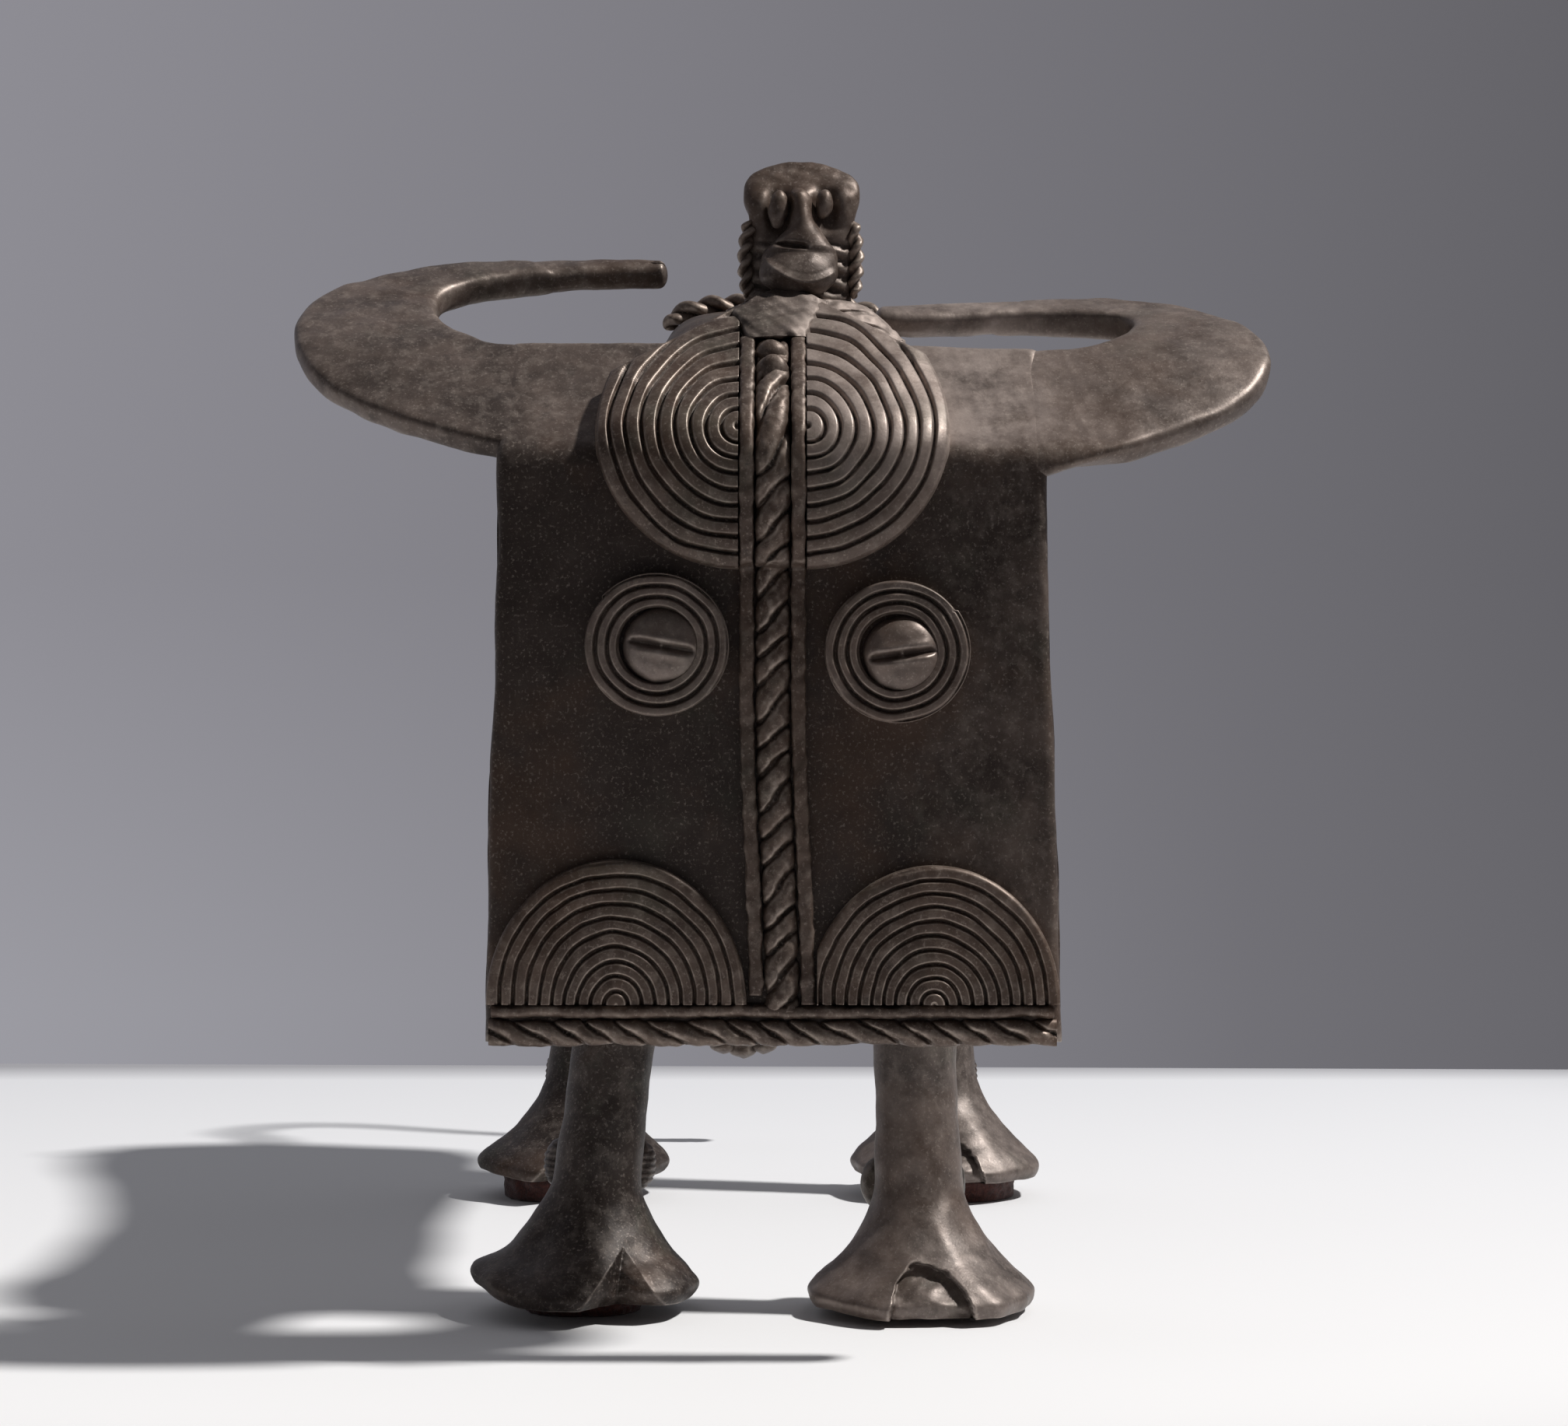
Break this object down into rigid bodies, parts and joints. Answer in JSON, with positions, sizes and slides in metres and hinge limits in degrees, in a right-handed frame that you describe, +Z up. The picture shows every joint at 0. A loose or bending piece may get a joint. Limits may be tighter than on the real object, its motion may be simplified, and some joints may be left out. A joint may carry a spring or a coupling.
{
  "type": "bronze buffalo figurine",
  "caption": "Cast bronze buffalo with a flat ornamented mask face, crescent horns, a small head on the brow, a long barrel, cloven hooves on pads and a thin tail.",
  "frame": {"origin": "on the surface the figurine stands on, under the middle of its outer box", "axes": "+Z up, -Y the way the buffalo looks, +X towards its own left"},
  "size_m": [0.0982, 0.185, 0.1183],
  "materials": {
    "bronze": "dark brown patinated cast bronze, satin, with lighter worn ridges",
    "pad": "dark red felt, matt"
  },
  "bodies": {
    "root": {"face_plate": "bronze", "left_horn": "bronze", "right_horn": "bronze", "nose_rope": "bronze", "chin_bar": "bronze", "chin_rope": "bronze", "neck": "bronze", "body": "bronze", "crown_mound": "bronze", "crown_collar": "bronze", "small_head": "bronze", "rump_rope": "bronze", "tail": "bronze", "tail_tuft": "bronze", "forehead_coil_left": "bronze", "nose_border_left": "bronze", "eye_coil_left": "bronze", "eye_left": "bronze", "cheek_arcs_left": "bronze", "small_eye_left": "bronze", "small_braid_left": "bronze", "forehead_coil_right": "bronze", "nose_border_right": "bronze", "eye_coil_right": "bronze", "eye_right": "bronze", "cheek_arcs_right": "bronze", "small_eye_right": "bronze", "small_braid_right": "bronze", "front_left_leg": "bronze", "front_left_pad": "pad", "front_left_dewclaw_left": "bronze", "front_left_dewclaw_right": "bronze", "front_right_leg": "bronze", "front_right_pad": "pad", "front_right_dewclaw_left": "bronze", "front_right_dewclaw_right": "bronze", "rear_left_leg": "bronze", "rear_left_pad": "pad", "rear_left_dewclaw_left": "bronze", "rear_left_dewclaw_right": "bronze", "rear_right_leg": "bronze", "rear_right_pad": "pad", "rear_right_dewclaw_left": "bronze", "rear_right_dewclaw_right": "bronze"}
  },
  "joints": []
}
